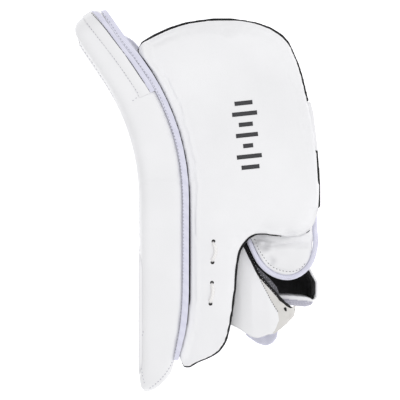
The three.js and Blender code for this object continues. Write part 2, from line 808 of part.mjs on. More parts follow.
// Fills the space between the board's back and the back of the hand
function handPad() {
  const offset = 3 * GAP + BACK_PANEL.thickness;
  const left = spread(HAND_PAD.from, HAND_PAD.to, 14).map((s) => {
    const { x, y } = boardPoint(s, thicknessAt(s) + offset, 0);
    return [x, y];
  });
  const [top, bottom] = [left[left.length - 1], left[0]];
  const wedge = prism(
    [...left, [top[0] + 14, top[1] + 3], [HAND_PAD.right, 20], [HAND_PAD.right, bottom[1] + 30], [bottom[0] + 4, bottom[1] + 3]],
    HAND_PAD.low,
    HAND_PAD.high,
  );
  const stalls = FINGER_TABLE.map((row, index) => fingerLoft(index, -GAP));
  return stalls.reduce(
    (rest, stall) => rest.subtract(stall),
    wedge.subtract(handLoft(HAND_SECTIONS[0].y + GAP, TUBE_END_Y, -GAP)),
  );
}

function flapSection({ y, left, right, z, thick, tilt }) {
  const ring = barRing(left, right, y, z - thick / 2, z + thick / 2);
  ring.forEach((point) => (point.z += (tilt * (point.x - left)) / (right - left)));
  return ring;
}

// The tape round the flap's free edge
function flapBinding() {
  const left = FLAP_ROWS.slice(1).map(({ y, left: x, z, thick }) => ({ x, y, z, thick }));
  const right = [...FLAP_ROWS].reverse().map(({ y, right: x, z, thick, tilt }) => ({ x, y, z: z + tilt, thick }));
  const route = [...left, ...right];
  const rings = route.map(({ x, y, z, thick }, i) => {
    const before = route[Math.max(i - 1, 0)];
    const after = route[Math.min(i + 1, route.length - 1)];
    const along = new THREE.Vector3(after.x - before.x, after.y - before.y, 0).normalize();
    const out = new THREE.Vector3(along.y, -along.x, 0).negate();
    const centre = new THREE.Vector3(x, y, z).addScaledVector(out, -3.4);
    return roundedRectangle(2.6, Math.max(thick, 6.5) / 2, 2, 2).map(([u, v]) =>
      centre.clone().addScaledVector(out, u).setZ(z + v),
    );
  });
  return toSolid(skin(rings));
}

// Assembly
const COLOURS = {
  white_leather: { color: 0xececee, roughness: 0.5, metalness: 0 },
  off_white_leather: { color: 0xe6e3e1, roughness: 0.6, metalness: 0 },
  lavender_tape: { color: 0xd9d9ea, roughness: 0.8, metalness: 0 },
  black_nylon: { color: 0x141416, roughness: 0.85, metalness: 0 },
  grey_mesh: { color: 0x77777c, roughness: 0.9, metalness: 0 },
  grey_palm: { color: 0x8b8c90, roughness: 0.8, metalness: 0 },
  white_lace: { color: 0xf1eeec, roughness: 0.8, metalness: 0 },
};
const MATERIALS = Object.fromEntries(
  Object.entries(COLOURS).map(([name, look]) => [name, new THREE.MeshStandardMaterial({ name, ...look })]),
);
const blocker = new THREE.Group();
function add(name, made, material) {
  const geometry = made.isBufferGeometry ? made : toGeometry(made);
  const mesh = new THREE.Mesh(geometry, MATERIALS[material]);
  mesh.name = name;
  blocker.add(mesh);
  return mesh;
}

add("board_body", boardBody(), "white_leather");
add("board_binding", boardBinding(), "lavender_tape");
add("top_trim", topTrim(), "white_leather");
add("top_gusset", topGusset(), "lavender_tape");
add("sideboard_cover", sideboardCover(), "white_leather");
add("sideboard_backing", sideboardBacking(), "black_nylon");
add("edge_tab", edgeTab(0), "off_white_leather");
add("lace", lace(), "white_lace");
add("palm_shell", palmShell(), "grey_palm");
add("thumb_stall", thumbStall(), "grey_palm");
FINGER_TABLE.forEach(({ name }, index) => add(name, fingerStall(index), "grey_palm"));
add("cuff_shell", cuffShell(), "white_leather");
add("cuff_lining", cuffLining(), "black_nylon");
add("cuff_tongue", cuffTongue(), "lavender_tape");
add("wrist_strap", wristStrap(), "lavender_tape");
add("hook_strip", hookStrip(), "grey_mesh");
add("hand_pad", handPad(), "grey_palm");
add("thumb_flap", toSolid(plate(FLAP_ROWS, (row) => flapSection(row))), "white_leather");
add("flap_binding", flapBinding(), "lavender_tape");
add(
  "back_panel",
  boardPanel(
    BINDING.start + 4,
    FACE_LENGTH - BACK_PANEL.end,
    BACK_PANEL,
    (s) => {
      const from = thicknessAt(s) + 1.5 * GAP;
      return [from, from + between(BACK_PANEL_ROWS, "s", s).thick];
    },
    BOARD.cornerRadius - 6,
  ),
  "lavender_tape",
);
add(
  "face_panel",
  boardPanel(FACE_PANEL.start, FACE_PANEL.end, FACE_PANEL, () => [-GAP - FACE_PANEL.thickness, -GAP], 14),
  "white_leather",
);

// The origin goes to the middle of the outline, on the floor
const middle = new THREE.Box3().setFromObject(blocker).getCenter(new THREE.Vector3());
blocker.children.forEach((mesh) => mesh.geometry.translate(-middle.x, -middle.y, 0));

export default blocker;
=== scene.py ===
# %% [markdown]
# # A hockey goalie's blocker in Blender
# The blocker is a curved padded board with a thumb guard and a glove behind it. This lesson dresses the
# measured model of it: each sewn piece gets its stuffing, seams, stitches and a material of its own.
# The model comes in as a frame that is never moved, so every new piece is made in its place.

import math

import bmesh
import bpy
from mathutils import Matrix, Vector, noise
from mathutils.bvhtree import BVHTree


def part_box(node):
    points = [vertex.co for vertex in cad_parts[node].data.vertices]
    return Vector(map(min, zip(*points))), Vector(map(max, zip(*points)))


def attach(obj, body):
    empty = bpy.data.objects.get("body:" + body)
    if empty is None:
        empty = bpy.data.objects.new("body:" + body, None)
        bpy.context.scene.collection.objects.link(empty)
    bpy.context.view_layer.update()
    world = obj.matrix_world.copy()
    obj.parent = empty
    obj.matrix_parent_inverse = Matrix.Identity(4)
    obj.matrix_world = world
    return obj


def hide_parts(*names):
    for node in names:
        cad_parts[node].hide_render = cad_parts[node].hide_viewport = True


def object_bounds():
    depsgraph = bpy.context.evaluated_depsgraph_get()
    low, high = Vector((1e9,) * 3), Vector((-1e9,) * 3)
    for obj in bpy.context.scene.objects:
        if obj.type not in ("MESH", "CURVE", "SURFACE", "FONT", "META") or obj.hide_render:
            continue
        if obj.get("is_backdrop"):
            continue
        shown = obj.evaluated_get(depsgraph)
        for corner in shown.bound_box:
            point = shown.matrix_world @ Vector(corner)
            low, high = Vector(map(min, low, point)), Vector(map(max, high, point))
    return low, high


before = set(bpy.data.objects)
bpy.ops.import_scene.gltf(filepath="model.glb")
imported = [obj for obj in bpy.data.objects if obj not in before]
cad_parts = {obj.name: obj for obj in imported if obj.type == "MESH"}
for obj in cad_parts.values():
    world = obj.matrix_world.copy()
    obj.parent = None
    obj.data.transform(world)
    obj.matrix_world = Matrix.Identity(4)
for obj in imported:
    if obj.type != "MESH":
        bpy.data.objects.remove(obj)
cad_low, cad_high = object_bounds()
bpy.ops.object.select_all(action="DESELECT")
print("pieces in the frame:", len(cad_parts))

# %% [markdown]
# ## The camera first
# The photograph looks straight down on the thumb edge of a blocker that lies on its other edge. The camera
# stands 2.2 m above that edge, and its frame is 400 mm wide there, so a pixel is a millimetre. The middle of
# the frame is halfway up the board and a little past its back.
# A line through a pixel then says where on a piece a seam or a stitch belongs.

# %% Place the camera
MM = 0.001
EYE_HEIGHT = 2.2
FRAME_WIDTH = 0.4
HALF_LENGTH = 192.5
PAST_BOARD = 16.5

board_low, board_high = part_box("board_body")
centre_x = board_high.x + PAST_BOARD * MM
centre_y = board_low.y + HALF_LENGTH * MM
thumb_edge = board_high.z
eye = Vector((centre_x, centre_y, thumb_edge + EYE_HEIGHT))

bpy.ops.object.camera_add(location=eye, rotation=(0, 0, 0))
camera = bpy.context.object
camera.data.sensor_width = 36
camera.data.lens = 18 / (FRAME_WIDTH / 2 / EYE_HEIGHT)
bpy.context.scene.camera = camera
print("lens", round(camera.data.lens), "mm, eye at", [round(v, 3) for v in eye])

# %% [markdown]
# ## Colours and nodes
# Colours are written as a picture editor shows them and turned to linear light by one function.
# Another small function adds a shader node, sets its sockets and links what feeds them.

# %% Colour and node helpers


def linear(hex_colour):
    """The linear colour for an sRGB hex value."""
    parts = [int(hex_colour[i : i + 2], 16) / 255 for i in (1, 3, 5)]
    return tuple(c / 12.92 if c <= 0.04045 else ((c + 0.055) / 1.055) ** 2.4 for c in parts) + (1.0,)


def add_node(tree, kind, values=None, links=None, **settings):
    """Adds a node with its settings, its socket values and its links."""
    made = tree.nodes.new(kind)
    for key, value in settings.items():
        setattr(made, key, value)
    for key, value in (values or {}).items():
        made.inputs[key].default_value = value
    for key, socket in (links or {}).items():
        tree.links.new(socket, made.inputs[key])
    return made


def new_material(name, roughness, **sockets):
    """A material with an empty Principled shader and the object's own coordinates in metres."""
    made = bpy.data.materials.new(name)
    made.use_nodes = True
    tree = made.node_tree
    shader = tree.nodes["Principled BSDF"]
    shader.inputs["Roughness"].default_value = roughness
    for key, value in sockets.items():
        shader.inputs[key.replace("_", " ")].default_value = value
    place = add_node(tree, "ShaderNodeTexCoord").outputs["Object"]
    return made, tree, shader, place


# %% [markdown]
# ## Coated leather
# The white skin is a polyurethane-coated synthetic leather, embossed with a fine pebble of about 1 mm.
# It is smooth and slightly satin, and a new one varies only a little, cooler and warmer, over a hand's width.
# The pebble is drawn at 1.4 mm, a little coarse, so that it shows at all. Creases of about a centimetre lie
# under it.

# %% White coated leather, and a warm one darkened by painted shade
PEBBLE = 0.0014


def coated_leather(name, low, high, roughness):
    made, tree, shader, place = new_material(name, roughness, Coat_Weight=0.12, Coat_Roughness=0.35)
    broad = add_node(tree, "ShaderNodeTexNoise", {"Scale": 14, "Detail": 3}, {"Vector": place})
    amount = add_node(
        tree, "ShaderNodeMapRange", {"From Min": 0.35, "From Max": 0.65}, {"Value": broad.outputs["Fac"]}
    )
    tint = add_node(
        tree, "ShaderNodeMix", {6: linear(low), 7: linear(high)}, {0: amount.outputs["Result"]},
        data_type="RGBA",
    )
    pebble = add_node(
        tree, "ShaderNodeTexVoronoi", {"Scale": 1 / PEBBLE}, {"Vector": place}, feature="DISTANCE_TO_EDGE"
    )
    crease = add_node(tree, "ShaderNodeTexNoise", {"Scale": 90, "Detail": 4}, {"Vector": place})
    height = add_node(
        tree, "ShaderNodeMath", {1: 0.55}, {0: crease.outputs["Fac"], 2: pebble.outputs["Distance"]},
        operation="MULTIPLY_ADD",
    )
    grain = add_node(
        tree, "ShaderNodeBump", {"Strength": 0.5, "Distance": 0.00022}, {"Height": height.outputs["Value"]}
    )
    tree.links.new(tint.outputs[2], shader.inputs["Base Color"])
    tree.links.new(grain.outputs["Normal"], shader.inputs["Normal"])
    return made


white_leather = coated_leather("coated_leather_white", "#E9E9EB", "#EEEEF0", 0.46)
# The warm leather is darker than the white: its warmer tint is its own, its darkness is painted shade of the
# cuff's fold.
shaded_warm_leather = coated_leather("coated_leather_warm_painted_shade", "#CBC9C6", "#DAD8D5", 0.6)

# %% [markdown]
# ## Binding tape
# The pale tape that bounds each edge is woven nylon, ribbed across its width about once a millimetre.
# It is bluish beside the leather. The ribs are a wave on the object's own place, so they need no unwrapping.
# Blender's wave repeats every 0.31 to 0.36 of its unit, so 0.31 over the pitch in metres is its scale.

# %% Binding tape and lining cloth
WAVE = 0.31


def woven(name, low, high, pitch, depth, roughness, sheen=0.0):
    made, tree, shader, place = new_material(name, roughness, Sheen_Weight=sheen, Sheen_Roughness=0.4)
    across = add_node(
        tree, "ShaderNodeTexWave", {"Scale": WAVE / pitch, "Distortion": 0.4, "Detail": 1}, {"Vector": place},
        bands_direction="DIAGONAL",
    )
    turned = add_node(tree, "ShaderNodeMapping", {"Rotation": (0.5, 0.9, 1.57)}, {"Vector": place})
    along = add_node(
        tree, "ShaderNodeTexWave", {"Scale": WAVE / pitch, "Distortion": 0.4, "Detail": 1},
        {"Vector": turned.outputs["Vector"]}, bands_direction="DIAGONAL",
    )
    weave = add_node(
        tree, "ShaderNodeMath", {}, {0: across.outputs["Fac"], 1: along.outputs["Fac"]}, operation="MULTIPLY"
    )
    wear = add_node(tree, "ShaderNodeTexNoise", {"Scale": 60, "Detail": 3}, {"Vector": place})
    mixed = add_node(
        tree, "ShaderNodeMath", {1: 0.5}, {0: wear.outputs["Fac"], 2: weave.outputs["Value"]},
        operation="MULTIPLY_ADD",
    )
    tint = add_node(
        tree, "ShaderNodeMix", {6: linear(low), 7: linear(high)}, {0: mixed.outputs["Value"]},
        data_type="RGBA",
    )
    ribs = add_node(
        tree, "ShaderNodeBump", {"Strength": 0.7, "Distance": depth}, {"Height": weave.outputs["Value"]}
    )
    tree.links.new(tint.outputs[2], shader.inputs["Base Color"])
    tree.links.new(ribs.outputs["Normal"], shader.inputs["Normal"])
    return made


pale_tape = woven("nylon_tape_pale", "#D4D4E5", "#E2E2F0", 0.0011, 0.00012, 0.75, 0.15)
black_lining = woven("nylon_lining_black", "#050506", "#121215", 0.0013, 0.0002, 0.85, 0.1)
palm_suede = woven("palm_suede_grey", "#85878C", "#A3A5AA", 0.0018, 0.00015, 0.85, 0.3)
# The strap's webbing is darker and greyer than the tape: painted shade of its rolled body.
shaded_strap_webbing = woven("nylon_webbing_painted_shade", "#B7B6C3", "#CBCAD5", 0.0014, 0.00016, 0.8, 0.1)
back_mesh = woven("spacer_mesh_pale", "#C6C6D6", "#E0E0EC", 0.003, 0.0006, 0.8, 0.1)

# %% [markdown]
# ## Hook tape
# The grey hook tape inside the cuff is nylon: rows of tiny hooks, about a millimetre and a half apart. Their
# tips are painted lighter, a painted highlight where they catch the light; the tips are the middles of cells
# in a cell pattern.

# %% Hook tape
HOOK_PITCH = 0.0016

hook_tape, hook_tree, hook_shader, hook_place = new_material("hook_tape_grey", 0.7)
hook_cells = add_node(hook_tree, "ShaderNodeTexVoronoi", {"Scale": 1 / HOOK_PITCH}, {"Vector": hook_place})
# Lighter hook tips are a painted highlight.
hook_tip_highlights = add_node(
    hook_tree, "ShaderNodeMapRange", {"From Min": 0.32, "From Max": 0.12},
    {"Value": hook_cells.outputs["Distance"]},
)
hook_tint = add_node(
    hook_tree, "ShaderNodeMix", {6: linear("#5E5E64"), 7: linear("#C4C4CA")},
    {0: hook_tip_highlights.outputs["Result"]}, data_type="RGBA",
)
hook_bump = add_node(
    hook_tree, "ShaderNodeBump", {"Strength": 0.8, "Distance": 0.0005},
    {"Height": hook_tip_highlights.outputs["Result"]},
)
hook_tree.links.new(hook_tint.outputs[2], hook_shader.inputs["Base Color"])
hook_tree.links.new(hook_bump.outputs["Normal"], hook_shader.inputs["Normal"])

# %% [markdown]
# ## Thread, lace and print
# Thread is bonded nylon, a shade darker than the leather so that each stitch shows. The lace is waxed cotton,
# braided about every 1.5 mm. The marks on the guard are a matte dark ink.

# %% Thread, lace and ink


def plain_fibre(name, low, high, pitch, roughness):
    made, tree, shader, place = new_material(name, roughness, Sheen_Weight=0.2, Sheen_Roughness=0.5)
    twist = add_node(
        tree, "ShaderNodeTexWave", {"Scale": WAVE / pitch, "Distortion": 0.6, "Detail": 1}, {"Vector": place},
        bands_direction="DIAGONAL",
    )
    tint = add_node(
        tree, "ShaderNodeMix", {6: linear(low), 7: linear(high)}, {0: twist.outputs["Fac"]}, data_type="RGBA"
    )
    ply = add_node(
        tree, "ShaderNodeBump", {"Strength": 0.6, "Distance": 0.0002}, {"Height": twist.outputs["Fac"]}
    )
    tree.links.new(tint.outputs[2], shader.inputs["Base Color"])
    tree.links.new(ply.outputs["Normal"], shader.inputs["Normal"])
    return made


pale_thread = plain_fibre("thread_pale", "#9C9CA8", "#C2C2CC", 0.0006, 0.7)
white_thread = plain_fibre("thread_white", "#D8D8DC", "#F0F0F2", 0.0006, 0.7)
dark_thread = plain_fibre("thread_dark", "#2C2C32", "#55555C", 0.0006, 0.7)
waxed_lace = plain_fibre("waxed_cotton_lace", "#E9E7E6", "#F4F3F2", 0.0015, 0.6)

ink, ink_tree, ink_shader, ink_place = new_material("matte_ink", 0.6)
ink_speck = add_node(ink_tree, "ShaderNodeTexNoise", {"Scale": 900, "Detail": 2}, {"Vector": ink_place})
ink_tint = add_node(
    ink_tree, "ShaderNodeMix", {6: linear("#26262A"), 7: linear("#3A3A3E")}, {0: ink_speck.outputs["Fac"]},
    data_type="RGBA",
)
ink_film = add_node(
    ink_tree, "ShaderNodeBump", {"Strength": 1.0, "Distance": 0.00004}, {"Height": ink_speck.outputs["Fac"]}
)
ink_tree.links.new(ink_tint.outputs[2], ink_shader.inputs["Base Color"])
ink_tree.links.new(ink_film.outputs["Normal"], ink_shader.inputs["Normal"])
print("materials:", [material.name for material in bpy.data.materials])

# %% [markdown]
# ## Tools for sewn pieces
# A sewn pad starts as a copy of its measured solid. Merging its points and remeshing it in cubes gives even
# faces that can swell like cloth. Firm pieces are only remeshed and smoothed. Each piece rides with the
# frame and takes its solid's place.

# %% Copy, remesh and smooth


def only(piece):
    """Makes a piece the one selected and active object."""
    bpy.ops.object.select_all(action="DESELECT")
    piece.select_set(True)
    bpy.context.view_layer.objects.active = piece


def settle(piece, kind, name, **settings):
    """Adds a modifier with its settings, and applies it."""
    only(piece)
    added = piece.modifiers.new(name, kind)
    for key, value in settings.items():
        setattr(added, key, value)
    bpy.ops.object.modifier_apply(modifier=added.name)


def dress(piece, material, *nodes):
    """Gives a finished piece its material and its place on the frame."""
    piece.data.materials.clear()
    piece.data.materials.append(material)
    only(piece)
    bpy.ops.object.shade_smooth()
    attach(piece, "root")
    if nodes:
        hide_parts(*nodes)
    print(piece.name, "faces:", len(piece.data.polygons))


def sewn_copy(node, name, voxel, smoothing):
    """A remeshed copy of a measured solid."""
    piece = bpy.data.objects.new(name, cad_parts[node].data.copy())
    bpy.context.scene.collection.objects.link(piece)
    only(piece)
    bpy.ops.object.mode_set(mode="EDIT")
    bpy.ops.mesh.select_all(action="SELECT")
    bpy.ops.mesh.remove_doubles(threshold=0.00001)
    bpy.ops.object.mode_set(mode="OBJECT")
    settle(piece, "REMESH", "even_faces", mode="VOXEL", voxel_size=voxel)
    settle(piece, "SMOOTH", "soft_edges", factor=0.5, iterations=smoothing)
    return piece


# %% [markdown]
# ## Stuffing
# Foam pushes the skin outwards between its seams. Blender's cloth with air pressure does the same in 20
# frames. The far edge stays flat to rest on, so a share function says how much of the swelling each point
# keeps, and a cap keeps the pad from growing past its neighbours.

# %% Swell a pad
FRAMES = 20
PRESSURE = 4.0


def swell(piece, cap, share):
    """Blows a pad up, then keeps a share of the move at each point."""
    mesh = piece.data
    before = [v.co.copy() for v in mesh.vertices]
    keep = [share(v.co, v.normal) for v in mesh.vertices]
    only(piece)
    cloth = piece.modifiers.new("stuffing", "CLOTH")
    cloth.settings.use_pressure = True
    cloth.settings.uniform_pressure_force = PRESSURE
    cloth.settings.effector_weights.gravity = 0
    cloth.collision_settings.use_collision = False
    cloth.point_cache.frame_start = 1
    cloth.point_cache.frame_end = FRAMES
    for step in range(1, FRAMES + 1):
        bpy.context.scene.frame_set(step)
    bpy.ops.object.modifier_apply(modifier=cloth.name)
    bpy.context.scene.frame_set(1)
    furthest = 0
    for vertex, start, part in zip(piece.data.vertices, before, keep):
        move = vertex.co - start
        if move.length > cap:
            move = move.normalized() * cap
        vertex.co = start + move * part
        furthest = max(furthest, move.length * part)
    print(piece.name, "swelled by up to", round(furthest / MM, 1), "mm")


# %% [markdown]
# ## Finding the skin
# A seam or a stitch is drawn as a line of pixels, and a ray from the camera through each pixel finds its
# place on the skin.

# %% Rays and pixels
MIDDLE = 200


class Skin:
    """Finds points on a piece by a ray, from the camera through a pixel or from anywhere."""

    def __init__(self, *pieces):
        self.trees = []
        graph = bpy.context.evaluated_depsgraph_get()
        for piece in pieces:
            self.trees.append(BVHTree.FromObject(piece, graph))

    def cast(self, start, direction):
        hits = [tree.ray_cast(start, direction) for tree in self.trees]
        hits = [hit for hit in hits if hit[0] is not None]
        if not hits:
            return None
        place, normal, _, _ = min(hits, key=lambda hit: hit[3])
        return place, normal

    def seen(self, px, py):
        target = Vector(((px - MIDDLE) * MM, (MIDDLE - py) * MM, -EYE_HEIGHT))
        return self.cast(eye, target.normalized())


def pixel_of(place):
    """The pixel that a place is seen at."""
    scale = EYE_HEIGHT / MM / (eye.z - place.z)
    return Vector((MIDDLE + (place.x - eye.x) * scale, MIDDLE - (place.y - eye.y) * scale))


# %% [markdown]
# Lines are given by a few points. Their corners are cut twice to make them curves, and even steps along them
# set the pitch of the stitches.

# %% Lines of points


def distance_to(line, point):
    """How far a point is from a line of points."""
    nearest = []
    for a, b in zip(line, line[1:]):
        a, b = Vector(a), Vector(b)
        along = max(0.0, min(1.0, (point - a).dot(b - a) / (b - a).length_squared))
        nearest.append((point - a.lerp(b, along)).length)
    return min(nearest)


def walk(points, pitch):
    """Even steps along a line of points of any dimension."""
    points = [Vector(p) for p in points]
    steps = [points[0]]
    left = pitch
    for a, b in zip(points, points[1:]):
        span = (b - a).length
        done = 0.0
        while span - done >= left:
            done += left
            steps.append(a.lerp(b, done / span))
            left = pitch
        left -= span - done
    return steps


def rounded(points, passes=2):
    """Cuts the corners of a line, so that it runs in a curve."""
    line = [Vector(p) for p in points]
    for _ in range(passes):
        cut = [line[0]]
        for a, b in zip(line, line[1:]):
            cut += [a.lerp(b, 0.25), a.lerp(b, 0.75)]
        line = cut + [line[-1]]
    return line


def seam_hits(skin, pixels, pitch, passes=2):
    """Places and normals on the skin along a line of pixels."""
    hits = [skin.seen(px, py) for px, py in walk(rounded(pixels, passes), pitch)]
    return [hit for hit in hits if hit]


# %% [markdown]
# ## Seams
# A seam pulls the skin in along a line. Each point near the line is pushed in by an amount that fades over a
# few millimetres. The hits become specks, triangles a hundredth of a millimetre wide, so that one tree can
# find the nearest of them.

# %% Press a seam
SPECK = 0.01 * MM


def press(piece, hits, depth, reach):
    """Pushes the skin in along a line of hits."""
    places = [place for place, _ in hits]
    tree = BVHTree.FromPolygons(
        [v for p in places for v in (p, p + Vector((SPECK, 0, 0)), p + Vector((0, SPECK, 0)))],
        [(i * 3, i * 3 + 1, i * 3 + 2) for i in range(len(places))],
    )
    moves = {}
    for vertex in piece.data.vertices:
        found = tree.find_nearest(vertex.co, reach)
        if found[0] is not None:
            fade = 1 - found[3] / reach
            moves[vertex.index] = vertex.normal * depth * fade * fade * (3 - 2 * fade)
    for index, move in moves.items():
        piece.data.vertices[index].co -= move
    piece.data.update()


# %% [markdown]
# ## Stitches
# A stitch is a small bead, modelled once and copied along a line of hits, lying on the skin from one hit to
# the next. Where a line jumps to another piece, more than 12 mm off, there is no stitch.

# %% Lay stitches
LONGEST_STITCH = 12 * MM

bpy.ops.mesh.primitive_uv_sphere_add(segments=6, ring_count=4, radius=1)
bead = bpy.context.object
bead.name = "stitch_pattern"
bead_mesh = bead.data


def lay_stitches(name, hits, thread, length, width):
    """One bead on each pair of neighbouring hits, lying along the line, with its size in millimetres."""
    cloth = bmesh.new()
    for (a, na), (b, _) in zip(hits[::2], hits[1::2]):
        along = b - a
        if not SPECK <= along.length <= LONGEST_STITCH:
            continue
        along.normalize()
        side = na.cross(along).normalized()
        up = along.cross(side)
        turn = Matrix((along, side, up)).transposed().to_4x4()
        size = Matrix.Diagonal((length / 2 * MM, width * MM, width * 0.7 * MM, 1))
        place = Matrix.Translation((a + b) / 2 + na * 0.1 * MM)
        first = len(cloth.verts)
        cloth.from_mesh(bead_mesh)
        cloth.verts.ensure_lookup_table()
        bmesh.ops.transform(cloth, matrix=place @ turn @ size, verts=cloth.verts[first:])
    mesh = bpy.data.meshes.new(name)
    cloth.to_mesh(mesh)
    cloth.free()
    row = bpy.data.objects.new(name, mesh)
    bpy.context.scene.collection.objects.link(row)
    dress(row, thread)


# %% [markdown]
# ## The board's curve
# The board is straight below, bends by 34 degrees on a radius of 210 mm, and runs straight again. Its own
# coordinates are s along the face from the lower tip, d inwards from the face, and z across the width.
# The same numbers made the measured board, so seams laid by them follow it. A ray that looks for the skin
# starts well outside it, before the face or behind the back.

# %% Walk along the board
STRAIGHT = 194.5
BEND_RADIUS = 210
LEAN = math.radians(34)
FACE_X = -60
BEFORE_FACE = -30
BEHIND_BACK = 70


def on_board(s, d, z):
    """The place s, d, z millimetres along, into and across the board, with the face's outward normal."""
    bend = min(max((s - STRAIGHT) / BEND_RADIUS, 0), LEAN)
    past = max(s - STRAIGHT - BEND_RADIUS * LEAN, 0)
    inward = Vector((math.cos(bend), math.sin(bend), 0))
    along = Vector((-math.sin(bend), math.cos(bend), 0))
    x = FACE_X - BEND_RADIUS * (1 - math.cos(bend))
    y = -HALF_LENGTH + min(s, STRAIGHT) + BEND_RADIUS * math.sin(bend)
    place = Vector((x, y, z)) + along * past + inward * d
    return place * MM + Vector((centre_x, centre_y, 0)), -inward


def face_hits(skin, line, pitch, from_back=False):
    """Hits on the board's face or back along a line of (s, z)."""
    hits = []
    for s, z in walk(line, pitch):
        place, outward = on_board(s, BEHIND_BACK if from_back else BEFORE_FACE, z)
        hit = skin.cast(place, outward if from_back else -outward)
        if hit:
            hits.append(hit)
    return hits


# %% [markdown]
# ## The board
# Under its leather the board is layers of stiff foam. Its front crowns a little, and its edges stay flat
# where the cover is pulled over them. So only the front keeps the swelling, and the flat far edge is left to
# rest on. The remesh rounds the lower tip off too much, so its last 14 mm are made 2.2 mm wider at each side,
# fading out over the next 14 mm, and its last 10 mm are drawn out by 1.6 mm.

# %% Stuff the board
TIP_HEIGHT = 14
TIP_END = 10
TIP_WIDER = 2.2
TIP_LONGER = 1.6

board = sewn_copy("board_body", "board_pad", 3.7 * MM, 2)


def board_share(place, normal):
    front = max(0.0, -normal.x * 0.9 - abs(normal.z))
    return min(1.0, front * 1.4)


swell(board, 1.8 * MM, board_share)
sides = [v.normal.x for v in board.data.vertices]
for vertex, side in zip(board.data.vertices, sides):
    above = (vertex.co.y - board_low.y) / MM
    vertex.co.x += TIP_WIDER * MM * side * max(0.0, min(1.0, 2 - above / TIP_HEIGHT))
    vertex.co.y -= TIP_LONGER * MM * max(0.0, 1 - above / TIP_END)
settle(board, "SUBSURF", "finer", levels=1, render_levels=1)
board_skin = Skin(board)

# %% [markdown]
# Seams that the photograph shows are lines of pixel columns and rows. Those on the hidden face are lines of
# s and z. A faint crease crosses the thumb edge where two layers of foam meet.

# %% Seams and stitches of the board
edge_row = [
    (103, 13), (111, 24), (121, 40), (130, 51), (141, 66.5), (151.5, 81.5), (157, 91), (164, 105),
    (171.5, 127), (177, 144.5), (181, 168), (182.8, 190), (183.4, 220), (183.3, 260), (182.6, 290),
    (181, 310), (178.8, 330), (176.5, 345), (173.8, 358), (170, 367), (165, 374.5), (159.5, 380.5),
    (153, 386), (149, 388.5),
]
tip_row = [(143.4, 331), (141.8, 338), (141.2, 350), (141.4, 366), (142.8, 378), (145.5, 386)]
trim_row = [(86.7, 23.3), (103.3, 44.5), (115.6, 60), (126.7, 76.7), (138.9, 94.4)]
trim_corner = [(138.9, 94.4), (138.4, 96.5), (131, 102)]
crease = [(142, 183), (155, 182.5), (181, 183)]
board_rows = [seam_hits(board_skin, row, 1.7) for row in (edge_row, tip_row)]
for row in board_rows:
    press(board, row, 0.35 * MM, 3 * MM)
press(board, seam_hits(board_skin, crease, 1.5), 0.7 * MM, 5 * MM)
frame_line = [(20, 16), (370, 16), (370, 187), (20, 187), (20, 16)]
cross_lines = [[(s, 18), (s, 185)] for s in (150, 262)]
face_rows = [face_hits(board_skin, line, 2.0) for line in [frame_line, *cross_lines]]
for row in face_rows:
    press(board, row, 0.9 * MM, 6 * MM)
press(board, seam_hits(board_skin, trim_corner, 1.5), 0.5 * MM, 3 * MM)
dress(board, white_leather, "board_body")
board_skin = Skin(board)
lay_stitches("tip_stitches", seam_hits(board_skin, tip_row, 1.7), pale_thread, 1.9, 0.34)
lay_stitches("strip_corner_stitches", seam_hits(board_skin, trim_corner, 1.9), pale_thread, 1.9, 0.3)
for i, line in enumerate([frame_line, *cross_lines]):
    lay_stitches(f"board_face_stitches_{i + 1}", face_hits(board_skin, line, 2.0), pale_thread, 2.6, 0.4)

# %% [markdown]
# ## Tape and firm strips
# Tape is thin and keeps its edges, and remeshing would melt them. Those pieces are copied, their doubles are
# merged, and every sharp edge gets a small round bevel.

# %% Bevelled copies
SHARP = math.radians(35)


def edged_copy(node, name, bevel, segments=2):
    piece = bpy.data.objects.new(name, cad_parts[node].data.copy())
    bpy.context.scene.collection.objects.link(piece)
    only(piece)
    bpy.ops.object.mode_set(mode="EDIT")
    bpy.ops.mesh.select_all(action="SELECT")
    bpy.ops.mesh.remove_doubles(threshold=0.00001)
    bpy.ops.mesh.dissolve_limited(angle_limit=math.radians(1))
    bpy.ops.object.mode_set(mode="OBJECT")
    settle(
        piece, "BEVEL", "round_edges", width=bevel, segments=segments,
        limit_method="ANGLE", angle_limit=SHARP,
    )
    return piece


# %% [markdown]
# Besides the tape these are the raised strip at the top, with a painted shadow along its inner edge, laid as
# long dark beads, and the pale strip beside it. The wear panel on the face gets its inner side 3.2 mm deeper
# into the board, because the stuffed board rounds away under it and would leave a dark valley.

# %% Tape, strips and wear panel
PANEL_DEEPER = 3.2

board_tape = edged_copy("board_binding", "board_edge_tape", 0.3 * MM)
dress(board_tape, pale_tape, "board_binding")
top_strip = edged_copy("top_trim", "top_strip", 0.35 * MM, 3)
dress(top_strip, white_leather, "top_trim")
trim_hits = seam_hits(Skin(top_strip, board), trim_row, 1.7)
lay_stitches("top_strip_stitches", trim_hits, pale_thread, 1.9, 0.3)
gusset = edged_copy("top_gusset", "top_edge_strip", 0.3 * MM)
dress(gusset, pale_tape, "top_gusset")
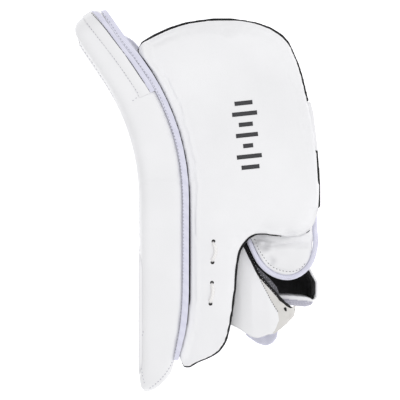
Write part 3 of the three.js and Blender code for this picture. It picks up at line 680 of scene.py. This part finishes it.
# The dark beads are painted shadow along the raised strip's inner edge.
shadow_bead_row = [(91.5, 13), (102.2, 24.4), (115.6, 42.2), (128.9, 60), (140, 76.7), (150, 91.7)]
shadow_bead_hits = seam_hits(Skin(top_strip, gusset), shadow_bead_row, 1.2)
lay_stitches("strip_edge_painted_shadow", shadow_bead_hits, dark_thread, 3.4, 0.4)
edge_hits = seam_hits(Skin(board, gusset, board_tape), edge_row, 1.7)
lay_stitches("board_edge_stitches", edge_hits, pale_thread, 1.9, 0.5)
wear_panel = edged_copy("face_panel", "wear_panel", 0.5 * MM)
panel_low, panel_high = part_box("face_panel")
for vertex in wear_panel.data.vertices:
    if vertex.co.x > (panel_low.x + panel_high.x) / 2:
        vertex.co.x += PANEL_DEEPER * MM
dress(wear_panel, white_leather, "face_panel")
wear_line = [(21, 9), (134, 9), (134, 194), (21, 194), (21, 9)]
wear_hits = face_hits(Skin(wear_panel), wear_line, 2.0)
lay_stitches("wear_panel_stitches", wear_hits, pale_thread, 2.6, 0.4)

# %% [markdown]
# ## The back of the board
# A soft panel covers the board's back where it meets the hand. It is sewn across in channels, so that it
# folds with the bend.

# %% Quilt the back panel
back_pad = sewn_copy("back_panel", "back_pad", 2.2 * MM, 2)
back_skin = Skin(back_pad)
channels = [[(s, 12), (s, 136)] for s in (75, 115, 155, 195, 235, 275, 310)]
for line in channels:
    press(back_pad, face_hits(back_skin, line, 2.0, True), 1.6 * MM, 7 * MM)
dress(back_pad, back_mesh, "back_panel")
back_skin = Skin(back_pad)
for i, line in enumerate(channels):
    lay_stitches(f"back_stitches_{i + 1}", face_hits(back_skin, line, 2.0, True), pale_thread, 2.6, 0.4)

# %% [markdown]
# ## The thumb guard
# The guard is a foam plate in white leather on a black backing, which shows as a thin dark edge. The foam
# crowns its outer side.

# %% Stuff the guard
guard = sewn_copy("sideboard_cover", "guard_pad", 2.6 * MM, 2)


def guard_share(place, normal):
    return max(0.0, min(1.0, normal.z * 1.3))


swell(guard, 2.6 * MM, guard_share)
settle(guard, "SUBSURF", "finer", levels=1, render_levels=1)

# %% [markdown]
# Small dents from handling wander over the guard: a broad wave and a fine one, in waves to the metre and
# millimetres of depth. Its rim rolls round, its left margin rises beside the board's tape, and its palm
# corner is pulled down to the flap. Reaches are in pixels.

# %% Shape the guard
BROAD = {"waves": 17, "depth": 0.9}
FINE = {"waves": 45, "depth": 0.35}
MARGIN = {"rise": 6.5, "reach": 10}
CORNER = {"drop": 9, "reach": 20}
RIM_PUSH = 1.9

left_margin = [
    (143, 46), (145.7, 62), (153.9, 75), (163.4, 92), (172.5, 112), (180.2, 134), (186.2, 160),
    (189.2, 186), (190, 230), (189.8, 300), (186.7, 325), (182.2, 345), (179, 357),
]
palm_corner = [(290, 238), (300, 237), (309, 232.5), (315, 225), (317.5, 214)]
outwards = [v.normal.copy() for v in guard.data.vertices]
for vertex, outward in zip(guard.data.vertices, outwards):
    lift = max(0.0, outward.z)
    broad = noise.noise(vertex.co * BROAD["waves"] + Vector((3, 1, 7)))
    fine = noise.noise(vertex.co * FINE["waves"] + Vector((9, 4, 2)))
    near = max(0.0, 1 - distance_to(palm_corner, pixel_of(vertex.co)) / CORNER["reach"])
    dents = BROAD["depth"] * broad + FINE["depth"] * fine
    vertex.co.z += (dents - CORNER["drop"] * near * near) * MM * lift
    roll = 2 * lift * math.sqrt(max(0.0, 1 - lift * lift))
    if lift > 0.05:
        margin = max(0.0, 1 - distance_to(left_margin, pixel_of(vertex.co)) / MARGIN["reach"])
        vertex.co.z += MARGIN["rise"] * MM * margin * margin * (3 - 2 * margin) * min(1.0, lift * 3)
    vertex.co += outward * RIM_PUSH * MM * roll * roll * (1 - near)
guard.data.update()
settle(guard, "SMOOTH", "even_roll", factor=0.5, iterations=3)

# %% [markdown]
# The lace goes through four punched holes, given in millimetres from the frame's middle. Each is cut by a
# drill, a cylinder taken away from the pad, and lined with a short black sleeve, which is painted shade deep
# inside the hole.

# %% Punch the lace holes
LACE_HOLES = [(13.5, -41.5), (12.5, -62.5), (12, -83), (10.5, -104)]
DRILL = {"radius": 1.95 * MM, "depth": 40 * MM}
SLEEVE = {"radius": 1.9 * MM, "depth": 15.4 * MM}

cover_low, cover_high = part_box("sideboard_cover")
hole_middle = (cover_low.z + cover_high.z) / 2
holes = [(centre_x + x * MM, centre_y + y * MM, hole_middle) for x, y in LACE_HOLES]
for hole in holes:
    bpy.ops.mesh.primitive_cylinder_add(vertices=24, location=hole, **DRILL)
    drill = bpy.context.object
    settle(guard, "BOOLEAN", "punch", operation="DIFFERENCE", solver="EXACT", object=drill)
    bpy.data.objects.remove(drill, do_unlink=True)
# The black sleeves paint the shade inside the holes.
sleeves = []
for hole in holes:
    bpy.ops.mesh.primitive_cylinder_add(vertices=24, end_fill_type="NOTHING", location=hole, **SLEEVE)
    sleeves.append(bpy.context.object)
bpy.ops.object.select_all(action="DESELECT")
for sleeve in sleeves:
    sleeve.select_set(True)
bpy.context.view_layer.objects.active = sleeves[0]
bpy.ops.object.join()
bpy.ops.object.transform_apply(location=True)
hole_sleeves = bpy.context.object
hole_sleeves.name = "lace_hole_shade_sleeves"
settle(hole_sleeves, "SOLIDIFY", "wall", thickness=0.25 * MM, offset=-1)
dress(hole_sleeves, black_lining)
dress(guard, white_leather, "sideboard_cover")
guard_skin = Skin(guard)

# %% [markdown]
# The black backing is a stiff nylon sheet with its flange. The tab on the palm edge is a folded leather loop.

# %% Backing and tab
backing = sewn_copy("sideboard_backing", "guard_backing", 1.6 * MM, 1)
settle(backing, "DISPLACE", "full_size", strength=0.65 * MM, mid_level=0)
dress(backing, black_lining, "sideboard_backing")
tab = edged_copy("edge_tab", "edge_tab_loop", 0.8 * MM)
dress(tab, white_leather, "edge_tab")

# %% [markdown]
# ## Marks on the guard
# The guard carries a plain printed column of short bars, which mean nothing and only fill the place. Each bar
# is a thin film of ink that follows the crowned leather: a grid whose points are dropped on the skin. The
# column runs from one pixel to another, and each bar has a length of its own.

# %% Print the bars
BARS = [18, 25, 14, 22, 10, 25, 18]
BAR_WIDTH = 4.2
BAR_TILT = math.radians(-6)
COLUMN_TOP = Vector((243.5, 103))
COLUMN_END = Vector((250.5, 167))


def print_bar(name, column, row, length):
    bpy.ops.mesh.primitive_grid_add(x_subdivisions=14, y_subdivisions=3, size=1)
    bar = bpy.context.object
    bar.name = name
    for vertex in bar.data.vertices:
        along = vertex.co.x * length
        across = vertex.co.y * BAR_WIDTH
        px = column + along * math.cos(BAR_TILT) + across * math.sin(BAR_TILT)
        py = row + along * math.sin(BAR_TILT) - across * math.cos(BAR_TILT)
        place, normal = guard_skin.seen(px, py)
        vertex.co = place + normal * 0.06 * MM
    settle(bar, "SOLIDIFY", "film", thickness=0.2 * MM, offset=1)
    dress(bar, ink)


for i, bar_length in enumerate(BARS):
    middle = COLUMN_TOP.lerp(COLUMN_END, i / (len(BARS) - 1))
    print_bar(f"printed_bar_{i + 1}", middle.x, middle.y, bar_length)

# %% [markdown]
# ## The lace
# One waxed lace ties the guard's tail. Its solid has six sides, so it is remeshed finely and smoothed round.
# Each of its two loops over the leather is drawn in by a fifth towards its own middle, as the lace is tight.
# Middles are in millimetres up from the frame's middle.

# %% Smooth the lace
LOOPS = {"upper": -52, "lower": -93.5}
BETWEEN_LOOPS = -72
LOOP_DEPTH = 8 * MM
DRAWN_IN = 0.2

cord_lace = sewn_copy("lace", "tail_lace", 0.55 * MM, 3)
settle(cord_lace, "DISPLACE", "full_size", strength=0.4 * MM, mid_level=0)
for vertex in cord_lace.data.vertices:
    over = max(0.0, min(1.0, (vertex.co.z - cover_high.z + LOOP_DEPTH) / LOOP_DEPTH))
    y = (vertex.co.y - centre_y) / MM
    loop = LOOPS["upper" if y > BETWEEN_LOOPS else "lower"]
    vertex.co.y += DRAWN_IN * (loop - y) * over * MM
dress(cord_lace, waxed_lace, "lace")

# %% [markdown]
# ## The glove
# The hidden glove is grey palm suede, sewn in tubes for the fingers and thumb. Thin walls need a fine remesh,
# and slow ripples from noise give them the slack of suede.

# %% Make the glove's pieces


def slack(piece, amount, size, seed):
    """Moves the skin in and out in slow ripples."""
    shift = Vector((seed, seed * 2.3, seed * 0.7))
    piece.data.update()
    moves = [v.normal * noise.noise(v.co / size + shift) * amount for v in piece.data.vertices]
    for vertex, move in zip(piece.data.vertices, moves):
        vertex.co += move


GLOVE = {
    "palm_suede": "palm_shell",
    "thumb_suede": "thumb_stall",
    "index_finger_suede": "index_finger_stall",
    "middle_finger_suede": "middle_finger_stall",
    "ring_finger_suede": "ring_finger_stall",
    "little_finger_suede": "little_finger_stall",
}
for seed, (name, node) in enumerate(GLOVE.items()):
    part = sewn_copy(node, name, 1.5 * MM, 2)
    slack(part, 0.7 * MM, 16 * MM, seed)
    dress(part, palm_suede, node)
hand_padding = sewn_copy("hand_pad", "hand_padding", 2.6 * MM, 3)
dress(hand_padding, black_lining, "hand_pad")

# %% [markdown]
# ## The cuff
# The cuff is white leather over a black lining that shows at its rims. A facing of softer, warmer leather is
# sewn along the mouth, and it creases and folds towards the cuff's end. It is the part of the near wall that
# lies to the right of the seam, so its faces get the second material, and noise gives them their creases.
# That leather is darker than the white one: its warmer tint is its own, and its darkness is painted shade of
# the fold.
# The wall's points beside the seam are drawn onto it, so that the two leathers meet in a clean line.

# %% Find the facing
OUTSIDE = -100.0

cuff = sewn_copy("cuff_shell", "cuff_leather", 1.05 * MM, 3)
cuff_seam = [(255.5, 269), (261, 281.5), (266.7, 292), (272, 302.5), (277.8, 311.7)]
fold_edge = [*cuff_seam, (279, 320), (276, 328), (270, 338)]


def past_fold(place):
    """How many pixels a place lies to the right of the cuff's seam and fold."""
    px, py = pixel_of(place)
    for (x1, y1), (x2, y2) in zip(fold_edge, fold_edge[1:]):
        if y1 <= py < y2:
            return px - x1 - (x2 - x1) * (py - y1) / (y2 - y1)
    return OUTSIDE


# %% [markdown]
# The creases are a broad wave and a fine one, in waves to the metre. They and the facing's drop grow over the
# first pixels past the seam. Where the guard covers the wall, left of a column of the picture, the wall is
# lifted towards its crown, because the leather there is held up by the guard.

# %% Shape the cuff
NEAR_WALL = 126 * MM
CREASES = {"broad": 110, "fine": 240, "fine_share": 0.6, "depth": 2.4}
FACING = {"drop": 2.2, "reach": 10, "snap": 0.6}
COVERED = {"column": 264, "reach": 12, "share": 0.62}

crown = max(vertex.co.z for vertex in cuff.data.vertices)
moves = []
for vertex in cuff.data.vertices:
    near = vertex.co.z > NEAR_WALL
    beyond = past_fold(vertex.co) if near else OUTSIDE
    covered = 0.0
    if near and vertex.normal.z > 0.05:
        left = COVERED["column"] - pixel_of(vertex.co).x
        covered = max(0.0, min(1.0, left / COVERED["reach"]))
    crease = noise.noise(vertex.co * CREASES["broad"] + Vector((4, 8, 1)))
    crease += CREASES["fine_share"] * noise.noise(vertex.co * CREASES["fine"])
    fall = min(max(beyond, 0.0) / FACING["reach"], 1.0)
    aside = -beyond * MM if abs(beyond) < FACING["snap"] else 0.0
    drop = (CREASES["depth"] * crease - FACING["drop"]) * fall * MM
    lifted = COVERED["share"] * (crown - vertex.co.z) * covered
    moves.append(Vector((aside, 0, drop + lifted)))
for vertex, move in zip(cuff.data.vertices, moves):
    vertex.co += move
cuff.data.update()
cuff_skin = Skin(cuff)
press(cuff, seam_hits(cuff_skin, cuff_seam, 1.2), 0.7 * MM, 2.6 * MM)
dress(cuff, white_leather, "cuff_shell")
# The second material carries the fold's painted shade in its darker colour.
cuff.data.materials.append(shaded_warm_leather)
for face in cuff.data.polygons:
    if face.center.z > NEAR_WALL and past_fold(face.center) > 0:
        face.material_index = 1
lay_stitches("cuff_stitches", seam_hits(Skin(cuff), cuff_seam, 1.3), dark_thread, 2.0, 0.4)

# %% [markdown]
# The lining stands out past the leather, and a row of white stitches holds its edge.

# %% Make the lining and the hook tape
lining = sewn_copy("cuff_lining", "cuff_inside", 1.2 * MM, 1)
settle(lining, "DISPLACE", "full_size", strength=0.15 * MM, mid_level=0)
dress(lining, black_lining, "cuff_lining")
lining_row = [(249.5, 252), (254.5, 263), (259, 273), (265, 282.5), (272, 290.5), (279, 298.5)]
lay_stitches("lining_stitches", seam_hits(Skin(lining), lining_row, 1.8), white_thread, 0.9, 0.26)
hook = sewn_copy("hook_strip", "hook_pad", 0.7 * MM, 1)
dress(hook, hook_tape, "hook_strip")

# %% [markdown]
# The bound tongue and the wrist strap are soft webbing over foam. The strap is rolled, so a groove runs along
# it under its upper edge. Above a sloping line of the picture the strap is faced with white leather; below it
# the webbing is a darker grey, which is painted shade of the strap's rolled body.

# %% Make the tongue and the strap
LEATHER_END = {"column": 279, "row": 298.4, "slope": 0.09}

tongue = sewn_copy("cuff_tongue", "tongue_pad", 1.3 * MM, 2)
settle(tongue, "DISPLACE", "full_size", strength=0.5 * MM, mid_level=0)
dress(tongue, pale_tape, "cuff_tongue")
strap = sewn_copy("wrist_strap", "strap_pad", 0.9 * MM, 3)
settle(strap, "DISPLACE", "full_size", strength=0.4 * MM, mid_level=0)
strap_groove = [(278, 301), (293, 301.6), (305, 302.2), (313, 303.2)]
press(strap, seam_hits(Skin(strap), strap_groove, 1.2), 2.4 * MM, 3.2 * MM)
dress(strap, shaded_strap_webbing, "wrist_strap")
strap.data.materials.append(white_leather)
for face in strap.data.polygons:
    seen = pixel_of(face.center)
    if seen.y < LEATHER_END["row"] + LEATHER_END["slope"] * (seen.x - LEATHER_END["column"]):
        face.material_index = 1

# %% [markdown]
# ## The thumb flap
# A padded flap fills the notch of the guard, bound in pale tape. The remesh draws its rim in, so it is first
# pushed out again, and then it is stuffed. Stuffed, it hangs up to 3.1 mm towards the palm below the notch.

# %% Stuff the flap
RIM_OUT = 0.9
HANG = {"most": 3.1, "less": 1.5, "row": 228, "rows": 12, "column": 250, "columns": 60}

flap = sewn_copy("thumb_flap", "flap_pad", 1.8 * MM, 2)
sides = [Vector((v.normal.x, v.normal.y, 0)) * RIM_OUT * MM for v in flap.data.vertices]
for vertex, side in zip(flap.data.vertices, sides):
    vertex.co += side
flap.data.update()


def flap_share(place, normal):
    return max(0.0, normal.z)


swell(flap, 2.5 * MM, flap_share)
settle(flap, "SUBSURF", "finer", levels=1, render_levels=1)


def ease_over(piece):
    """Moves a piece a little towards the palm, more on its inner side."""
    for vertex in piece.data.vertices:
        px, py = pixel_of(vertex.co)
        fade = max(0.0, min(1.0, (py - HANG["row"]) / HANG["rows"]))
        outer = max(0.0, min(1.0, (px - HANG["column"]) / HANG["columns"]))
        vertex.co.x += (HANG["most"] - HANG["less"] * outer) * MM * fade


ease_over(flap)

# %% [markdown]
# The flap is tucked under the guard at the left, which dents it, and comes up to meet the guard at the right.
# Each dent has its middle and its width in pixels and its depth in millimetres. A row of stitches runs inside
# the tape, and one long stitch tacks the flap to the guard's corner.

# %% Dent and sew the flap
CORNER_RISE = {"rise": 7, "reach": 22}

flap_row = [
    (254.6, 239), (258, 248.5), (262.3, 255), (266.8, 262), (273, 267.3),
    (280.3, 270.4), (286.7, 271.6), (293.3, 271.6), (300.4, 269), (305.6, 263),
]
DENTS = [((257, 238), 9, 7.5), ((264.5, 246), 4.5, 4.5), ((270, 261), 4.2, 5.2)]
lifts = [max(0.0, v.normal.z) for v in flap.data.vertices]
for vertex, lift in zip(flap.data.vertices, lifts):
    seen = pixel_of(vertex.co)
    dent = sum(deep * math.exp(-((seen - Vector(at)).length / wide) ** 2) for at, wide, deep in DENTS)
    near = max(0.0, 1 - distance_to(palm_corner, seen) / CORNER_RISE["reach"])
    vertex.co.z += (CORNER_RISE["rise"] * near * near - dent) * MM * lift
flap.data.update()
flap_skin = Skin(flap)
press(flap, seam_hits(flap_skin, flap_row, 1.5), 0.6 * MM, 3 * MM)
dress(flap, white_leather, "thumb_flap")
lay_stitches("flap_stitches", seam_hits(Skin(flap), flap_row, 1.7), dark_thread, 1.9, 0.34)
flap_tape = edged_copy("flap_binding", "flap_edge_tape", 1.4 * MM, 3)
settle(flap_tape, "SUBSURF", "finer", levels=1, render_levels=1)
ease_over(flap_tape)
dress(flap_tape, pale_tape, "flap_binding")
corner_tack = seam_hits(Skin(guard, flap), [(306.5, 232.9), (311.2, 229.2)], 4.5, 0)
lay_stitches("corner_tack", corner_tack, dark_thread, 6, 0.5)

# %% [markdown]
# ## Floor and light
# The studio is a white sweep under one broad soft light, with even light from all round, so the white leather
# shows by its faint shading only. The floor lies a fifth of a millimetre under the far edge.

# %% Floor and lights
PAPER_GLOW = 0.5
SKY = 0.7
FLOOR_Z = -0.2 * MM
LIT_PLACE = Vector((0, 0, 0.1))

bpy.ops.mesh.primitive_plane_add(size=8, location=(0, 0, FLOOR_Z))
floor = bpy.context.object
floor.name = "floor"
paper, _, paper_shader, _ = new_material("white_sweep", 0.9)
paper_shader.inputs["Base Color"].default_value = linear("#FAFAFB")
paper_shader.inputs["Emission Color"].default_value = linear("#FFFFFF")
paper_shader.inputs["Emission Strength"].default_value = PAPER_GLOW
floor.data.materials.append(paper)
floor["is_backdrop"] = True


def soft_light(name, place, size, watts):
    bpy.ops.object.light_add(type="AREA", location=place)
    lamp = bpy.context.object
    lamp.name = name
    lamp.data.shape = "DISK"
    lamp.data.size = size
    lamp.data.energy = watts
    aim = LIT_PLACE - Vector(place)
    lamp.rotation_euler = aim.to_track_quat("-Z", "Y").to_euler()


soft_light("broad_key", (0.35, 0.6, 2.9), 2.8, 24)
soft_light("low_fill", (1.6, -1.4, 1.8), 1.8, 10)
world = bpy.data.worlds.new("even_light")
world.use_nodes = True
background = world.node_tree.nodes["Background"]
background.inputs["Color"].default_value = linear("#FFFFFF")
background.inputs["Strength"].default_value = SKY
bpy.context.scene.world = world
bpy.context.scene.view_settings.view_transform = "Standard"

# %% [markdown]
# ## Finish
# The pattern bead goes, and the size of the dressed blocker is written beside that of the measured one.

# %% Write sizes and finish
bpy.data.objects.remove(bead, do_unlink=True)
low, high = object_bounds()
for side, before, after in (("low", cad_low, low), ("high", cad_high, high)):
    print(side, "corner moved by", [round((b - a) / MM, 1) for a, b in zip(before, after)], "mm")
